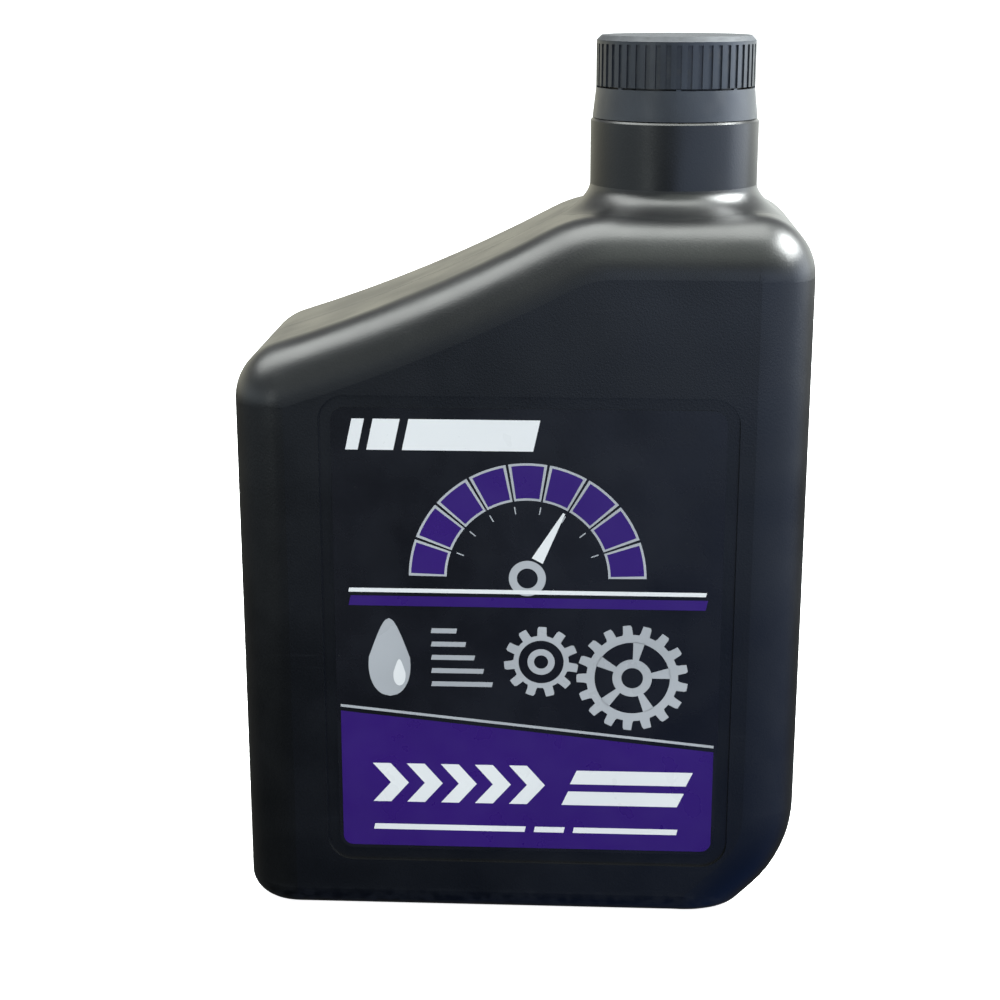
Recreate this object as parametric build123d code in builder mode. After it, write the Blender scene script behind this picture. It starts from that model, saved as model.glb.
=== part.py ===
from build123d import *
import os

# Motor oil bottle, one quart: a blown body with an offset neck, a screw cap, its tamper band and a label.
# Millimetres, +Z up, front face towards -Y, origin at the middle of the base.

# Blown body
body_width = 121.0
body_depth = 64.0
wall = 1.0
left_height = 122.6
slope_rise = 30.0
slope_sag = 2.2
slope_blend = 30.0
edge_radius = 11.8
inside_bevel = 0.8
left_corner_extra = 0.4
right_corner_extra = 0.6
foot_rise = 12.4
foot_reach = 12.4
foot_blend = 28.0
heel_radius = 5.0
standing_ring = 5.0
push_up = 3.0
push_up_corner = 9.0
push_up_draft = 40.0

# Label and the shallow panel it lies in
panel_recess = 0.7
panel_margin = 2.6
label_left_margin = 21.5
label_right_margin = 17.7
label_foot = 14.8
label_head = 8.6
label_corner = 3.0
label_thickness = 0.15

# Neck finish
neck_margin = 28.8
slope_setback = 20.0
collar_height = 18.2
collar_step = 0.35
collar_wall = 1.7
collar_foot_flare = 2.2
collar_edge = 0.6
bore_diameter = 24.6
finish_wall = 1.8
finish_height = 14.0
lip_chamfer = 0.5
bead_rise = 3.2
bead_height = 2.6
bead_reach = 1.2
bead_slope = 0.6

# Closure
thread_reach = 1.2
thread_clearance = 0.35
cap_skirt = 1.1
cap_top = 1.6
cap_top_edge = 1.0
liner_thickness = 1.3
liner_clearance = 0.4
rib_count = 48
rib_depth = 0.35
rib_gap = 1.0
rib_land = 0.7
band_height = 6.2
band_wall = 1.05
band_flare = 0.7
band_clearance = 0.4
hook_clearance = 1.0
bridge_count = 8
bridge_gap = 0.4
bridge_break = 0.1
bridge_width = 1.0
bridge_thickness = 0.7

# Levels, radii and places that several pieces share
half_width = body_width / 2
shoulder_level = left_height + slope_rise
ledge_level = shoulder_level + collar_height
bead_level = ledge_level + bead_rise
band_level = ledge_level + band_height
cap_rim = band_level + bridge_gap
mouth_level = ledge_level + finish_height
cap_ceiling = mouth_level + liner_thickness
cap_level = cap_ceiling + cap_top
bore_radius = bore_diameter / 2
finish_radius = bore_radius + finish_wall
bead_radius = finish_radius + bead_reach
cap_bore = finish_radius + thread_reach + thread_clearance
cap_radius = cap_bore + cap_skirt
band_bore = bead_radius + band_clearance
band_top_radius = band_bore + band_wall
band_foot_radius = band_top_radius + band_flare
collar_radius = band_foot_radius + collar_step
neck_offset = half_width - neck_margin
neck_axis = Axis((neck_offset, 0, 0), (0, 0, 1))
neck_plane = Plane(origin=(neck_offset, 0, 0), x_dir=(1, 0, 0), z_dir=(0, -1, 0))
panel_floor = body_depth / 2 - panel_recess
label_width = body_width - label_left_margin - label_right_margin
label_height = left_height - label_head - label_foot
label_centre = ((label_left_margin - label_right_margin) / 2, label_foot + label_height / 2)


def body_form(inset):
    """The body's closed form drawn in by inset: nought gives its outside, the wall gives its inside.
    The inside has bevels where the outside is rounded, and plain corners at its push-up and panels."""
    stock = 2 * edge_radius
    foot = [(half_width - foot_reach * (1 + stock / foot_rise), -stock), (-half_width, -stock)]
    left_corner = (-half_width, left_height)
    slope_top = (neck_offset - slope_setback, shoulder_level)
    right_corner = (half_width, shoulder_level)
    foot_corner = (half_width, foot_rise)
    rounding = {
        left_corner: edge_radius + left_corner_extra,
        slope_top: slope_blend,
        right_corner: edge_radius + right_corner_extra,
        foot_corner: foot_blend,
    }
    base_length = body_width - foot_reach
    ring_inset = heel_radius + standing_ring - inset

    with BuildPart() as form:
        with BuildSketch(Plane.XZ) as outline:
            with BuildLine():
                SagittaArc(left_corner, slope_top, -slope_sag)
                Polyline(slope_top, right_corner, foot_corner, *foot, left_corner)
            make_face()
            for corner, radius in rounding.items():
                fillet(outline.vertices().sort_by_distance(corner)[0], radius)
            if inset:
                offset(amount=-inset, kind=Kind.INTERSECTION)
        extrude(amount=body_depth / 2 - inset, both=True)
        rim = form.faces().filter_by(Axis.Y).edges()
        long_edges = rim - rim.group_by(Axis.Z)[0]
        if inset:
            chamfer(long_edges, inside_bevel * (edge_radius - inset))
        else:
            fillet(long_edges, edge_radius)
        split(bisect_by=Plane.XY.offset(inset), keep=Keep.TOP)
        heel = form.edges().group_by(Axis.Z)[0]
        if inset:
            chamfer(heel, heel_radius - inset)
        else:
            fillet(heel, heel_radius)

        with BuildSketch(Plane.XY) as push_up_foot:
            with Locations((-foot_reach / 2, 0)):
                Rectangle(base_length - 2 * ring_inset, body_depth - 2 * ring_inset)
            if not inset:
                fillet(push_up_foot.vertices(), push_up_corner)
        extrude(amount=push_up + inset, taper=push_up_draft, mode=Mode.SUBTRACT)

        for side in (1, -1):
            with BuildSketch(Plane.XZ.offset(side * (panel_floor - inset))) as panel:
                with Locations(label_centre):
                    Rectangle(
                        label_width + 2 * (panel_margin + inset),
                        label_height + 2 * (panel_margin + inset),
                    )
                if not inset:
                    fillet(panel.vertices(), label_corner + panel_margin)
            extrude(amount=side * 2 * panel_recess, mode=Mode.SUBTRACT)
    return form.part


body_outside = body_form(0)
body_inside = body_form(wall)

# Bottle: body, collar, neck finish and push-up base, blown as one piece
with BuildPart() as bottle:
    add(body_outside)
    with BuildSketch(neck_plane) as neck_outside:
        with BuildLine():
            Polyline(
                (0, shoulder_level - edge_radius),
                (collar_radius, shoulder_level - edge_radius),
                (collar_radius, ledge_level),
                (finish_radius, ledge_level),
                (finish_radius, bead_level),
                (bead_radius, bead_level + bead_slope),
                (bead_radius, bead_level + bead_height - bead_slope),
                (finish_radius, bead_level + bead_height),
                (finish_radius, mouth_level - lip_chamfer),
                (finish_radius - lip_chamfer, mouth_level),
                (0, mouth_level),
                close=True,
            )
        make_face()
        chamfer(neck_outside.vertices().sort_by_distance((collar_radius, ledge_level))[0], collar_edge)
    revolve(axis=neck_axis)
    collar_side = bottle.faces().filter_by(GeomType.CYLINDER).sort_by_distance(
        (neck_offset + collar_radius, 0, ledge_level - collar_height / 2)
    )[0]
    collar_rings = collar_side.edges().filter_by(GeomType.LINE, reverse=True).sort_by(Axis.Z)
    chamfer(collar_rings[:-1], collar_foot_flare)
    add(body_inside, mode=Mode.SUBTRACT)
    with BuildSketch(neck_plane):
        with BuildLine():
            Polyline(
                (0, shoulder_level - edge_radius),
                (collar_radius - collar_wall, shoulder_level - edge_radius),
                (collar_radius - collar_wall, ledge_level - 2 * collar_wall),
                (bore_radius, ledge_level),
                (bore_radius, mouth_level),
                (0, mouth_level),
                close=True,
            )
        make_face()
    revolve(axis=neck_axis, mode=Mode.SUBTRACT)

# Screw cap: a ribbed skirt under a flat top
with BuildPart() as cap:
    with BuildSketch(neck_plane) as cap_section:
        with BuildLine():
            Polyline(
                (0, cap_level),
                (cap_radius, cap_level),
                (cap_radius, cap_rim),
                (cap_bore, cap_rim),
                (cap_bore, cap_ceiling),
                (0, cap_ceiling),
                close=True,
            )
        make_face()
        chamfer(cap_section.vertices().sort_by_distance((cap_radius, cap_level))[0], cap_top_edge)
    revolve(axis=neck_axis)
    with BuildSketch(Plane.XY.offset(cap_rim)):
        with Locations((neck_offset, 0)):
            with PolarLocations(cap_radius, rib_count):
                Rectangle(2 * rib_depth, rib_gap)
    extrude(amount=cap_level - cap_top_edge - rib_land - cap_rim, mode=Mode.SUBTRACT)

# Liner: a foam disc pressed into the cap that seals on the lip
with BuildPart() as cap_liner:
    with BuildSketch(Plane.XY.offset(mouth_level)):
        with Locations((neck_offset, 0)):
            Circle(cap_bore - liner_clearance)
    extrude(amount=liner_thickness)

# Tamper band: the ring that stays on the neck, hooked under the bead, with its snapped bridges
with BuildPart() as tamper_band:
    with BuildSketch(neck_plane):
        with BuildLine():
            Polyline(
                (finish_radius + band_clearance, ledge_level),
                (band_foot_radius, ledge_level),
                (band_top_radius, band_level),
                (band_bore, band_level),
                (band_bore, bead_level),
                (finish_radius + band_clearance, bead_level - hook_clearance),
                close=True,
            )
        make_face()
    revolve(axis=neck_axis)
    with BuildSketch(Plane.XY.offset(band_level)):
        with Locations((neck_offset, 0)):
            with PolarLocations(band_top_radius - bridge_thickness / 2, bridge_count):
                Rectangle(bridge_thickness, bridge_width)
    extrude(amount=bridge_gap - bridge_break)

# Label: a film stuck on the floor of the front panel
with BuildPart() as front_label:
    with BuildSketch(Plane.XZ.offset(panel_floor)):
        with Locations(label_centre):
            RectangleRounded(label_width, label_height, label_corner)
    extrude(amount=label_thickness)

pieces = {
    "bottle": bottle,
    "cap": cap,
    "cap_liner": cap_liner,
    "tamper_band": tamper_band,
    "front_label": front_label,
}
os.makedirs("parts", exist_ok=True)
for name, piece in pieces.items():
    piece.part.label = name
    export_step(piece.part, f"parts/{name}.step")
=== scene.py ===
import math

import bpy
import numpy as np
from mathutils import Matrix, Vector


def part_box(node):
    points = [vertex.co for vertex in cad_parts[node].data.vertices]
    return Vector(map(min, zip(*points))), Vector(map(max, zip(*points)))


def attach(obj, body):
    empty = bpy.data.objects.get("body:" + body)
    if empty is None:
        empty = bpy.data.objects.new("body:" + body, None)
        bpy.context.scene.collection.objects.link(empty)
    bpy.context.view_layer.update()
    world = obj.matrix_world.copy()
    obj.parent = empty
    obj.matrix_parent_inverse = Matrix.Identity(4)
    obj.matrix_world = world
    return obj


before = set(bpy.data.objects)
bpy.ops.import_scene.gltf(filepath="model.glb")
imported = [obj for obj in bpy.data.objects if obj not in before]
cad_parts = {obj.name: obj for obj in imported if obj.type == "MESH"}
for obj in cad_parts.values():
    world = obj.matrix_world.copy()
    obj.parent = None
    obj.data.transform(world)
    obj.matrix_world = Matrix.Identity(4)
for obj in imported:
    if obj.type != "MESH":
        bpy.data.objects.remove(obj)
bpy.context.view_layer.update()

scene = bpy.context.scene


# Bottle: one blown shell of black polyethylene with an offset neck, kept from the frame. The mould halves meet
# on the middle plane and leave a fine seam, and the skin has the mould's grain and a blown wall's slow waves.
def node(tree, kind, inputs=None, **settings):
    """One shader node, with each named input set to a number or linked to a socket."""
    made = tree.nodes.new("ShaderNode" + kind)
    for key, value in settings.items():
        setattr(made, key, value)
    for key, value in (inputs or {}).items():
        if isinstance(value, bpy.types.NodeSocket):
            tree.links.new(value, made.inputs[key])
        else:
            made.inputs[key].default_value = value
    return made


def new_finish(name):
    """An empty finish: the material, its node tree, its shader and the piece's own coordinates."""
    finish = bpy.data.materials.new(name)
    finish.use_nodes = True
    tree = finish.node_tree
    return finish, tree, tree.nodes["Principled BSDF"], node(tree, "TexCoord").outputs["Object"]


def noise(tree, coords, scale, detail=2.0):
    """Soft noise about 1 / scale metres across, from nought to one."""
    return node(tree, "TexNoise", {"Vector": coords, "Scale": scale, "Detail": detail}).outputs["Fac"]


def ramp(tree, value, low, high, start=0.0, end=1.0):
    """A smooth step of value: start below low, end above high."""
    inputs = {"Value": value, "From Min": low, "From Max": high, "To Min": start, "To Max": end}
    return node(tree, "MapRange", inputs, interpolation_type="SMOOTHSTEP").outputs["Result"]


def times(tree, a, b):
    """a times b."""
    return node(tree, "Math", {0: a, 1: b}, operation="MULTIPLY").outputs["Value"]


def plus(tree, a, b):
    """a plus b, kept between nought and one."""
    return node(tree, "Math", {0: a, 1: b}, operation="ADD", use_clamp=True).outputs["Value"]


def mix(tree, share, a, b):
    """Colour a where share is nought and b where it is one."""
    made = node(tree, "Mix", {"Factor": share}, data_type="RGBA")
    for socket, colour in zip((made.inputs[6], made.inputs[7]), (a, b)):
        if isinstance(colour, bpy.types.NodeSocket):
            tree.links.new(colour, socket)
        else:
            socket.default_value = (*colour, 1.0)
    return made.outputs[2]


def bump(tree, height, depth, over=None):
    """A normal raised by height times depth in metres, on top of another where one is given."""
    inputs = {"Height": height, "Distance": depth, "Strength": 1.0}
    if over:
        inputs["Normal"] = over
    return node(tree, "Bump", inputs).outputs["Normal"]


def feed(tree, shader, colour, roughness, normal):
    """The shader takes its colour, its roughness and its normal from these sockets."""
    for key, value in (("Base Color", colour), ("Roughness", roughness), ("Normal", normal)):
        tree.links.new(value, shader.inputs[key])


def put_on(obj, finish):
    """The piece wears that finish alone."""
    obj.data.materials.clear()
    obj.data.materials.append(finish)


blown_black, tree, shader, coords = new_finish("blown_black")
place = node(tree, "SeparateXYZ", {"Vector": coords})
drift = ramp(tree, noise(tree, coords, 26.0, 3.0), 0.3, 0.7)
shade = mix(tree, drift, (0.0018, 0.0020, 0.0025), (0.0030, 0.0033, 0.0041))
drawn_flat = node(tree, "Mapping", {"Vector": coords, "Scale": (35.0, 35.0, 900.0)}).outputs["Vector"]
streaks = ramp(tree, noise(tree, drawn_flat, 1.0, 4.0), 0.62, 0.80)
scuffs = times(tree, streaks, ramp(tree, noise(tree, coords, 40.0), 0.52, 0.75))
heel = ramp(tree, place.outputs["Z"], 0.0065, 0.0005)
heel_rub = times(tree, heel, ramp(tree, noise(tree, coords, 420.0, 4.0), 0.38, 0.62))
rubbed = plus(tree, times(tree, scuffs, 0.40), times(tree, heel_rub, 0.7))
satin = ramp(tree, noise(tree, coords, 70.0, 4.0), 0.3, 0.7, 0.30, 0.37)
seam_reach = node(tree, "Math", {0: place.outputs["Y"]}, operation="ABSOLUTE").outputs["Value"]
skin = bump(tree, noise(tree, coords, 42.0, 1.0), 0.00022)
skin = bump(tree, ramp(tree, seam_reach, 0.00045, 0.0001), 0.00012, skin)
skin = bump(tree, noise(tree, coords, 2600.0, 2.0), 0.00002, skin)
shade = mix(tree, rubbed, shade, (0.016, 0.017, 0.019))
feed(tree, shader, shade, plus(tree, satin, times(tree, rubbed, 0.20)), skin)
shader.inputs["IOR"].default_value = 1.54
put_on(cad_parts["bottle"], blown_black)


# Neck: the blown hollow that runs from the collar's foot into the shoulder, and the thread above the bead, a
# rounded ridge of one turn and a quarter of a right-hand screw that fades into the neck wall at both ends.
neck_x = 0.0317
neck_root = 0.0141
thread_pitch = 0.0042333
thread_start = 0.1779
thread_phase = -2.2
collar_radius = 0.0178
foot_reach = 0.0065
foot_height = 0.0045
shoulder_level = 0.1526
flat_left, slope_round = 0.01929, 0.030
flat_right, corner_round = 0.0481, 0.0124
flat_front, edge_round = 0.0202, 0.0118


def grid_piece(name, points, closed=False):
    """A mesh on a grid of points (rows, columns, 3), with the columns joined round where closed."""
    rows, columns = points.shape[:2]
    index = np.arange(rows * columns).reshape(rows, columns)
    beside = np.roll(index, -1, axis=1) if closed else index[:, 1:]
    here = index if closed else index[:, :-1]
    quads = np.stack([here[:-1], beside[:-1], beside[1:], here[1:]], axis=-1).reshape(-1, 4)
    mesh = bpy.data.meshes.new(name)
    mesh.from_pydata(points.reshape(-1, 3), [], quads)
    mesh.shade_smooth()
    piece = bpy.data.objects.new(name, mesh)
    scene.collection.objects.link(piece)
    return piece


def shoulder_height(x, y):
    """The top of the shoulder over a point: level in the middle, falling along circular arcs past the ends of
    the flat, towards the slope on the left, the corner on the right and the long edges front and back."""
    def fall(past, radius):
        past = np.clip(past, 0.0, radius)
        return radius - np.sqrt(radius ** 2 - past ** 2)

    ends = fall(flat_left - x, slope_round) + fall(x - flat_right, corner_round)
    return shoulder_level - ends - fall(np.abs(y) - flat_front, edge_round)


def collar_blend(name):
    """A hollow blend round the collar's foot. At each angle its section is a cubic Bezier curve that leaves the
    shoulder along the shoulder's own fall and meets the collar's wall upright, foot_height above the shoulder.
    Its rims are sunk a little into the shoulder and the wall."""
    sunk, tucked, probe = 0.0001, 0.004, 0.0002
    angle = np.linspace(0.0, 2 * math.pi, 192, endpoint=False)[None, :]
    along = np.linspace(0.0, 1.0, 25)[:, None]
    outer = collar_radius + foot_reach

    def level(radius):
        return shoulder_height(neck_x + radius * np.cos(angle), radius * np.sin(angle))

    low, top = level(outer), shoulder_level + foot_height
    fall = (low - level(outer - probe)) / probe
    back = 1.0 - along
    share = [back ** 3, 3.0 * along * back ** 2, 3.0 * along ** 2 * back, along ** 3]
    radius = share[0] * outer + share[1] * (outer - foot_reach / 2) + (share[2] + share[3]) * collar_radius
    height = share[0] * low + share[1] * (low - fall * foot_reach / 2)
    height = height + share[2] * (top - foot_height / 2) + share[3] * top
    points = np.stack([neck_x + radius * np.cos(angle), radius * np.sin(angle), height], axis=-1)
    points[-1, :, :2] += (np.array([neck_x, 0.0]) - points[-1, :, :2]) * tucked
    points[0, :, 2] -= sunk
    return grid_piece(name, points, closed=True)


def screw_ridge(name, foot_radius, height, half_width, low, turns):
    """A ridge carried up a right-hand helix about the neck's axis. Across it, the section goes from one foot to
    the other as a raised cosine of that height, clipped to a flat crest, with its feet sunk a little; along it,
    the height grows from nought and dies away again. A height below nought stands inwards."""
    sunk = 0.0001
    along = np.linspace(0.0, 1.0, int(96 * turns))[:, None]
    across = np.linspace(-1.0, 1.0, 13)[None, :]
    fade = np.clip(np.minimum(along, 1.0 - along) * turns * 7.0, 0.0, 1.0)
    fade = fade * fade * (3.0 - 2.0 * fade)
    swell = np.clip(1.35 * np.cos(across * math.pi / 2), 0.0, 1.0)
    radius = foot_radius + np.sign(height) * (abs(height) * fade * swell - sunk * (1.0 - swell))
    angle = thread_phase + 2 * math.pi * turns * along + 0.0 * across
    level = low + thread_pitch * turns * along + half_width * across * (0.35 + 0.65 * fade)
    points = np.stack([neck_x + radius * np.cos(angle), radius * np.sin(angle), level], axis=-1)
    return grid_piece(name, points if height > 0 else points[:, ::-1])


collar_foot = collar_blend("collar_foot")
put_on(collar_foot, blown_black)
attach(collar_foot, "bottle")

neck_thread = screw_ridge("neck_thread", neck_root, 0.00105, 0.00085, thread_start, 1.25)
put_on(neck_thread, blown_black)
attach(neck_thread, "bottle")


# Tamper band and screw cap: two mouldings of one black polypropylene, made together and parted at the first
# turn. The lands between the ribs are polished by hands, and the gaps keep the mould's grain and some dust.
rib_floor, rib_land = 0.01645, 0.01665
top_edge, top_face = 0.1864, 0.1869

moulded_black, tree, shader, coords = new_finish("moulded_black")
place = node(tree, "SeparateXYZ", {"Vector": coords})
from_axis = node(tree, "CombineXYZ", {
    "X": node(tree, "Math", {0: place.outputs["X"], 1: -neck_x}, operation="ADD").outputs["Value"],
    "Y": place.outputs["Y"],
}).outputs["Vector"]
reach = node(tree, "VectorMath", {0: from_axis}, operation="LENGTH").outputs["Value"]
in_gaps = ramp(tree, reach, rib_land, rib_floor)
dust = times(tree, in_gaps, ramp(tree, noise(tree, coords, 900.0, 4.0), 0.45, 0.7))
drift = ramp(tree, noise(tree, coords, 120.0, 3.0), 0.3, 0.7)
shade = mix(tree, drift, (0.0150, 0.0180, 0.0240), (0.0200, 0.0240, 0.0310))
shade = mix(tree, times(tree, dust, 0.5), shade, (0.045, 0.046, 0.047))
satin = ramp(tree, noise(tree, coords, 300.0, 4.0), 0.3, 0.7, 0.34, 0.42)
satin = plus(tree, satin, times(tree, dust, 0.2))
satin = plus(tree, satin, ramp(tree, place.outputs["Z"], top_edge, top_face, 0.0, 0.20))
skin = bump(tree, noise(tree, coords, 160.0, 1.0), 0.00006)
skin = bump(tree, noise(tree, coords, 3200.0, 2.0), 0.000018, skin)
feed(tree, shader, shade, satin, skin)
put_on(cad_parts["tamper_band"], moulded_black)
put_on(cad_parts["cap"], moulded_black)


# Cap liner: a disc of closed-cell polyethylene foam pressed under the cap's top, pitted all over where its
# cells were sliced, with painted shade darkening the pits.
liner_foam, tree, shader, coords = new_finish("liner_foam")
cells = node(tree, "TexVoronoi", {"Vector": coords, "Scale": 2200.0}).outputs["Distance"]
# painted shade: the foam's colour darkens toward the middle of each cell, where the bump sinks the pits
shade = mix(tree, ramp(tree, cells, 0.1, 0.6), (0.52, 0.51, 0.47), (0.74, 0.73, 0.69))
matt = ramp(tree, noise(tree, coords, 400.0), 0.3, 0.7, 0.62, 0.78)
feed(tree, shader, shade, matt, bump(tree, cells, 0.00012))
put_on(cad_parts["cap_liner"], liner_foam)


# Cap thread: the ridge moulded inside the skirt, half a pitch above the neck's own and of the same hand, so
# that the two turn past each other.
skirt_wall = 0.01565
cap_thread = screw_ridge("cap_thread", skirt_wall, -0.00095, 0.00080, thread_start + 0.5 * thread_pitch, 0.9)
put_on(cap_thread, moulded_black)
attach(cap_thread, "cap")


# Front label: a black film stuck in the front panel. It is glossier than the bottle and lies in slow waves,
# with a few fine specks of dust.
label_film, tree, shader, coords = new_finish("label_film")
drift = ramp(tree, noise(tree, coords, 40.0, 3.0), 0.3, 0.7)
shade = mix(tree, drift, (0.0048, 0.0050, 0.0068), (0.0074, 0.0078, 0.0104))
specks = ramp(tree, noise(tree, coords, 1500.0, 5.0), 0.70, 0.78)
shade = mix(tree, times(tree, specks, 0.5), shade, (0.05, 0.05, 0.05))
gloss = ramp(tree, noise(tree, coords, 90.0, 4.0), 0.3, 0.7, 0.22, 0.31)
skin = bump(tree, noise(tree, coords, 55.0, 1.0), 0.00018)
skin = bump(tree, noise(tree, coords, 1800.0, 2.0), 0.000008, skin)
feed(tree, shader, shade, gloss, skin)
put_on(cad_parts["front_label"], label_film)


# Label print: three inks on the film, violet, silver and white, laid as flat fields: a dial, two gears, a drop,
# chevrons and bars. Each field is a strip between two lines, drawn in millimetres across and up the label.
label_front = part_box("front_label")[0][1]
lean = 0.22


def strip(first, second):
    """The flat surface swept between two lines of the same number of points, on a grid two rows deep."""
    return np.stack([np.asarray(first, float), np.asarray(second, float)])


def bar(left, right, low, thickness, tilt=lean):
    """A level bar whose upper line is shifted to the right by tilt times its thickness."""
    lower = np.array([(left, low), (right, low)])
    return strip(lower, lower + (tilt * thickness, thickness))


def chevron(left, low, height, width, point):
    """An arrow head: a bent line of three points, carried to the right by width."""
    bent = np.array([(left, low), (left + point, low + height / 2), (left, low + height)])
    return strip(bent + (width, 0.0), bent)


def ring(centre, inner, outer, start=0.0, sweep=2 * math.pi, count=96):
    """A ring or an arc of one, between an inner radius and an outer one that may follow the angle."""
    angle = np.linspace(start, start + sweep, count)
    turn = np.stack([np.cos(angle), np.sin(angle)], axis=-1)
    far = np.broadcast_to(outer(angle) if callable(outer) else outer, angle.shape)
    return strip(centre + far[:, None] * turn, centre + inner * turn)


def gear(centre, pitch_radius, teeth, tooth, rim, turned):
    """A toothed ring: its outer radius steps out and in as a clipped sine of the angle times the tooth
    count."""
    def crown(angle):
        return pitch_radius + tooth * np.clip(2.6 * np.sin(teeth * (angle - turned)), -0.5, 0.5)

    return ring(centre, pitch_radius - rim, crown, count=teeth * 16 + 1)


def drop(foot, radius, height):
    """An oil drop standing on its foot: its half-width grows as the square root of the height from the round
    foot, narrows as the square root of what is left, and is swept from side to side."""
    up = np.linspace(0.0, 1.0, 49)
    half = radius * 1.3 * np.sqrt((1.0 - up) * np.minimum(2.0 * up, 1.0)) * (1.0 - 0.35 * up)
    side = np.stack([np.maximum(half, 0.02), 0.0 * up], axis=-1)
    middle = np.stack([0.0 * up, height * up], axis=-1) + foot
    return strip(middle + side, middle - side)


def print_layer(name, fields, lift):
    """All the fields of one ink as one mesh, lift millimetres in front of the film and facing forward. Corners
    that fall together are one, so that a full ring closes."""
    corners, quads, count = [], [], 0
    for field in fields:
        columns = field.shape[1]
        index = count + np.arange(2 * columns).reshape(2, columns)
        quads.append(np.stack([index[0, :-1], index[0, 1:], index[1, 1:], index[1, :-1]], axis=-1))
        corners.append(field.reshape(-1, 2))
        count += 2 * columns
    flat, joined = np.unique(np.round(np.concatenate(corners), 6), axis=0, return_inverse=True)
    depth = np.full(len(flat), label_front - lift / 1000.0)
    points = np.stack([flat[:, 0] / 1000.0, depth, flat[:, 1] / 1000.0], axis=-1)
    mesh = bpy.data.meshes.new(name)
    mesh.from_pydata(points, [], joined.reshape(-1)[np.concatenate(quads)])
    piece = bpy.data.objects.new(name, mesh)
    scene.collection.objects.link(piece)
    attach(piece, "bottle")
    return piece


def ink(name, fresh, worn):
    """A printed ink: its colour drifts a little and broadly, and it has the film's gloss and slow waves."""
    finish, tree, shader, coords = new_finish(name)
    share = times(tree, ramp(tree, noise(tree, coords, 35.0), 0.2, 0.8), 0.7)
    gloss = ramp(tree, noise(tree, coords, 130.0, 4.0), 0.3, 0.7, 0.26, 0.36)
    waves = bump(tree, noise(tree, coords, 55.0, 1.0), 0.00018)
    feed(tree, shader, mix(tree, share, fresh, worn), gloss, waves)
    return finish


dial, dial_near, dial_far = np.array([1.9, 77.5]), 17.5, 24.5
tick_near, tick_far, tick_sweep = 14.2, 15.8, 0.016
segment_pitch, segment_gap, outline_width = math.pi / 9, 0.07, 0.5
segments = math.pi - (np.arange(9) + 1) * segment_pitch + segment_gap / 2
segment_sweep = segment_pitch - segment_gap
outline_sweep = 0.024

needle_angle = math.radians(62.0)
needle_along = np.array([math.cos(needle_angle), math.sin(needle_angle)])
needle_side = np.array([-needle_along[1], needle_along[0]])
needle_middle = dial + np.array([[4.4], [16.2]]) * needle_along
needle_half = np.array([[1.3], [0.25]]) * needle_side

rule_left, rule_right = -36.0, 39.4
large_gear, small_gear = np.array([24.3, 55.6]), np.array([4.9, 58.9])
spokes = np.arange(5) * 2 * math.pi / 5

band_left, band_right, band_low, band_corner = -38.2, 42.0, 15.6, 2.2
band_head, band_fall = 47.0, 0.10
swing = np.linspace(0.0, math.pi / 2, 13)
band_x = np.concatenate([
    band_left + band_corner * (1.0 - np.cos(swing)),
    band_right - band_corner * (1.0 - np.sin(swing)),
])
band_foot = band_low + band_corner * (1.0 - np.concatenate([np.sin(swing), np.cos(swing)]))
band_top = band_head - band_fall * (band_x - band_left)

violet_fields = [strip(np.stack([band_x, band_foot], axis=-1), np.stack([band_x, band_top], axis=-1))]
violet_fields += [ring(dial, dial_near, dial_far, start, segment_sweep, 13) for start in segments]
violet_fields += [bar(rule_left, rule_right, 71.0, 2.2)]
violet_ink = ink("violet_ink", (0.031, 0.008, 0.142), (0.025, 0.007, 0.118))
put_on(print_layer("print_violet", violet_fields, 0.02), violet_ink)

silver_fields = [
    ring(dial, dial_near - outline_width, dial_far + outline_width,
         start - outline_sweep, segment_sweep + 2 * outline_sweep, 13)
    for start in segments
]
tick_starts = segments[:-1] - (segment_gap + tick_sweep) / 2
silver_fields += [ring(dial, tick_near, tick_far, start, tick_sweep, 3) for start in tick_starts]
silver_fields += [ring(dial, 2.2, 3.9)]
edge_low, edge_high = (np.stack([band_x, band_top + above], axis=-1) for above in (0.9, 1.5))
silver_fields += [strip(edge_low, edge_high)]
silver_fields += [gear(large_gear, 10.8, 17, 2.1, 2.8, 0.109), ring(large_gear, 2.3, 4.2)]
silver_fields += [ring(large_gear, 4.2, 8.1, start, 0.30, 6) for start in spokes]
silver_fields += [gear(small_gear, 6.9, 11, 2.0, 2.1, 0.260), ring(small_gear, 1.5, 2.9)]
silver_fields += [drop((-27.5, 50.6), 5.8, 17.6)]
silver_fields += [bar(-18.6, -5.6 - 1.9 * k, 53.0 + 3.0 * k, 1.1) for k in range(5)]
silver_ink = ink("silver_ink", (0.44, 0.45, 0.46), (0.30, 0.31, 0.32))
put_on(print_layer("print_silver", silver_fields, 0.01), silver_ink)

head_bars = ((-36.0, -33.4), (-31.6, -26.0), (-24.2, 3.0))
foot_bars = ((-31.5, 1.5), (3.5, 10.0), (12.0, 34.5))
white_fields = [bar(left, right, 105.0, 6.6) for left, right in head_bars]
white_fields += [bar(rule_left, rule_right, 74.0, 0.9)]
white_fields += [strip(needle_middle - needle_half, needle_middle + needle_half)]
white_fields += [chevron(-31.5 + 7.4 * k, 26.0, 9.0, 3.9, 3.9) for k in range(5)]
white_fields += [bar(9.5, 34.5, 26.0, 3.2, 0.45), bar(11.3, 36.3, 30.9, 3.2, 0.45)]
white_fields += [bar(left, right, 19.4, 1.3) for left, right in foot_bars]
white_fields += [drop((-25.4, 53.0), 1.7, 6.0)]
white_ink = ink("white_ink", (0.77, 0.77, 0.75), (0.68, 0.68, 0.67))
put_on(print_layer("print_white", white_fields, 0.03), white_ink)


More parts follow.
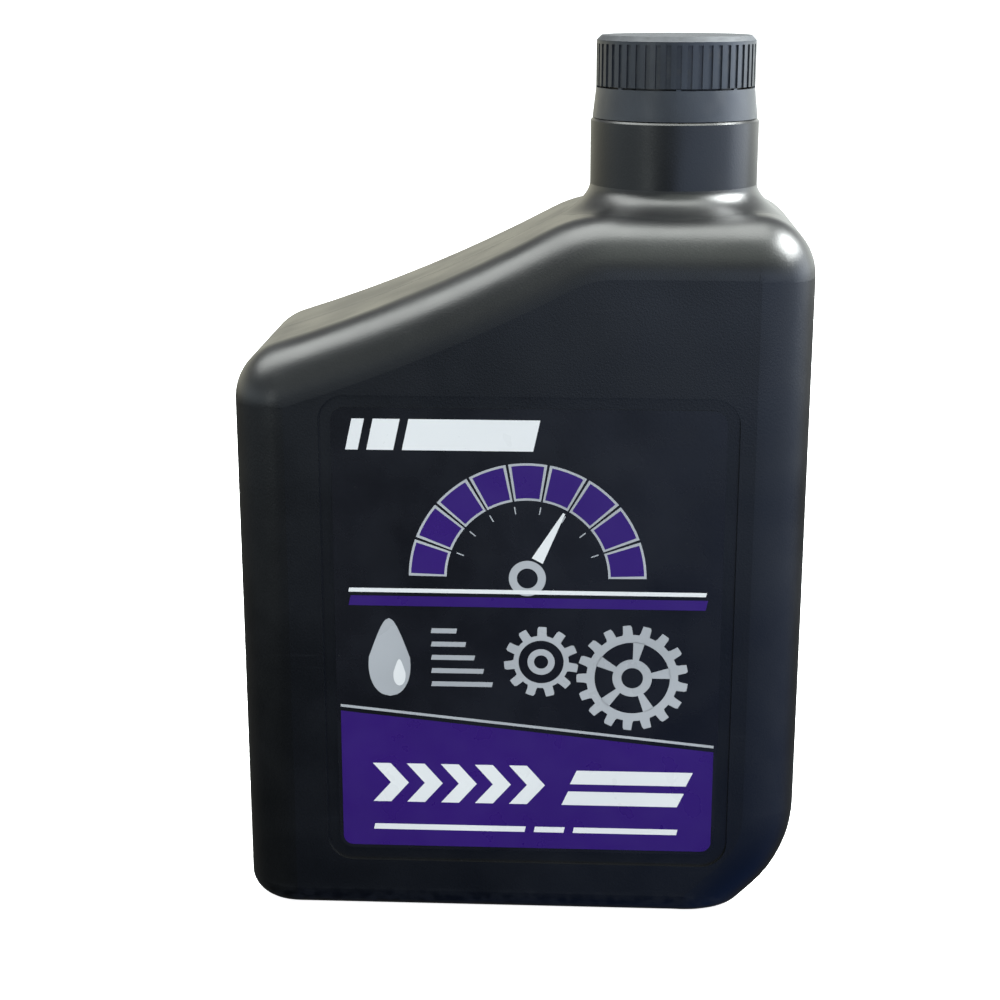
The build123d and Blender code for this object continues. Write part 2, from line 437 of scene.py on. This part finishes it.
# Studio: a pale floor that curves up far off, and soft light. A broad sheet of light hangs overhead, a smaller
# bright one stands high on the right with a dim blue one below it, and a narrow strip on the left, with a fill
# from the front; the walls are darker towards the floor and pale again high up on the front right.
floor_reach, floor_flat, floor_curve = 10.0, 2.0, 0.008
floor_line = np.linspace(-floor_reach, floor_reach, 21)
floor_x, floor_y = np.meshgrid(floor_line, floor_line)
floor_rise = floor_curve * np.clip(np.hypot(floor_x, floor_y) - floor_flat, 0.0, None) ** 2
floor = grid_piece("floor", np.stack([floor_x, floor_y, floor_rise], axis=-1))
floor_pale, tree, shader, coords = new_finish("floor_pale")
shader.inputs["Base Color"].default_value = (0.86, 0.86, 0.86, 1.0)
shader.inputs["Roughness"].default_value = 0.9
shader.inputs["Emission Color"].default_value = (1.0, 1.0, 1.0, 1.0)
shader.inputs["Emission Strength"].default_value = 0.80
put_on(floor, floor_pale)
floor.visible_glossy = False
floor.visible_diffuse = False


def soft_light(name, place, aim, size, radiance, colour):
    """A rectangular sheet of light of that radiance, facing aim and out of the camera's sight."""
    lamp = bpy.data.lights.new(name, "AREA")
    lamp.shape = "RECTANGLE"
    lamp.size, lamp.size_y = size
    lamp.energy = radiance * math.pi * size[0] * size[1]
    lamp.color = colour
    holder = bpy.data.objects.new(name, lamp)
    holder.location = place
    holder.rotation_euler = (Vector(aim) - Vector(place)).to_track_quat("-Z", "Y").to_euler()
    holder.visible_camera = False
    scene.collection.objects.link(holder)
    return holder


shoulder = (0.05, 0.0, 0.14)
soft_light("overhead_light", (-0.42, 0.12, 1.00), (-0.42, 0.12, 0.0), (1.55, 0.66), 7.6, (0.97, 1.00, 0.97))
soft_light("right_light", (0.73, 0.04, 0.75), shoulder, (0.60, 0.44), 42.0, (0.96, 1.00, 0.99))
soft_light("side_light", (0.85, 0.15, 0.30), shoulder, (0.55, 0.50), 2.4, (0.80, 0.88, 1.00))
soft_light("strip_light", (-0.58, -0.82, 0.24), (0.03, 0.0, 0.16), (0.12, 0.36), 3.2, (0.95, 1.00, 0.96))
fill = soft_light("front_light", (-0.20, -1.60, 1.10), (0.0, 0.0, 0.10), (1.20, 1.00), 3.8, (1.00, 1.00, 1.00))
fill.visible_glossy = False

studio = bpy.data.worlds.new("studio")
studio.use_nodes = True
scene.world = studio
tree = studio.node_tree
sky = node(tree, "SeparateXYZ", {"Vector": node(tree, "TexCoord").outputs["Generated"]})
across, deep, up = sky.outputs["X"], sky.outputs["Y"], sky.outputs["Z"]
far_left = mix(tree, ramp(tree, across, -0.30, -0.65), (0.45, 0.52, 0.58), (1.20, 1.36, 1.46))
left_wall = mix(tree, ramp(tree, up, -0.28, 0.10), (0.015, 0.018, 0.02), far_left)
right_wall = mix(tree, ramp(tree, up, -0.36, -0.04), (0.03, 0.08, 0.28), (1.10, 1.32, 1.72))
front = mix(tree, ramp(tree, across, -0.06, 0.12), left_wall, right_wall)
high_left, high_right = (0.38, 0.42, 0.44), (1.50, 1.64, 1.52)
high = mix(tree, ramp(tree, across, -0.42, -0.08), high_left, high_right)
high = mix(tree, ramp(tree, up, 0.32, 0.62), high_left, high)
front = mix(tree, ramp(tree, up, 0.04, 0.34), front, high)
back_wall = mix(tree, ramp(tree, across, 0.02, 0.22), (1.12, 1.10, 0.90), (2.10, 2.20, 2.10))
back = mix(tree, ramp(tree, up, 0.18, 0.45), back_wall, (0.30, 0.31, 0.31))
back = mix(tree, ramp(tree, up, -0.20, 0.02), (0.06, 0.06, 0.055), back)
around = mix(tree, ramp(tree, deep, -0.15, 0.65), front, back)
tree.links.new(around, tree.nodes["Background"].inputs["Color"])

camera = bpy.data.cameras.new("camera")
camera.sensor_width = 36.0
camera.lens = 67.70
holder = bpy.data.objects.new("camera", camera)
holder.location = (0.01514, -0.40778, 0.19905)
holder.rotation_euler = (math.radians(74.5), 0.0, math.radians(2.889))
scene.collection.objects.link(holder)
scene.camera = holder
scene.view_settings.view_transform = "Standard"
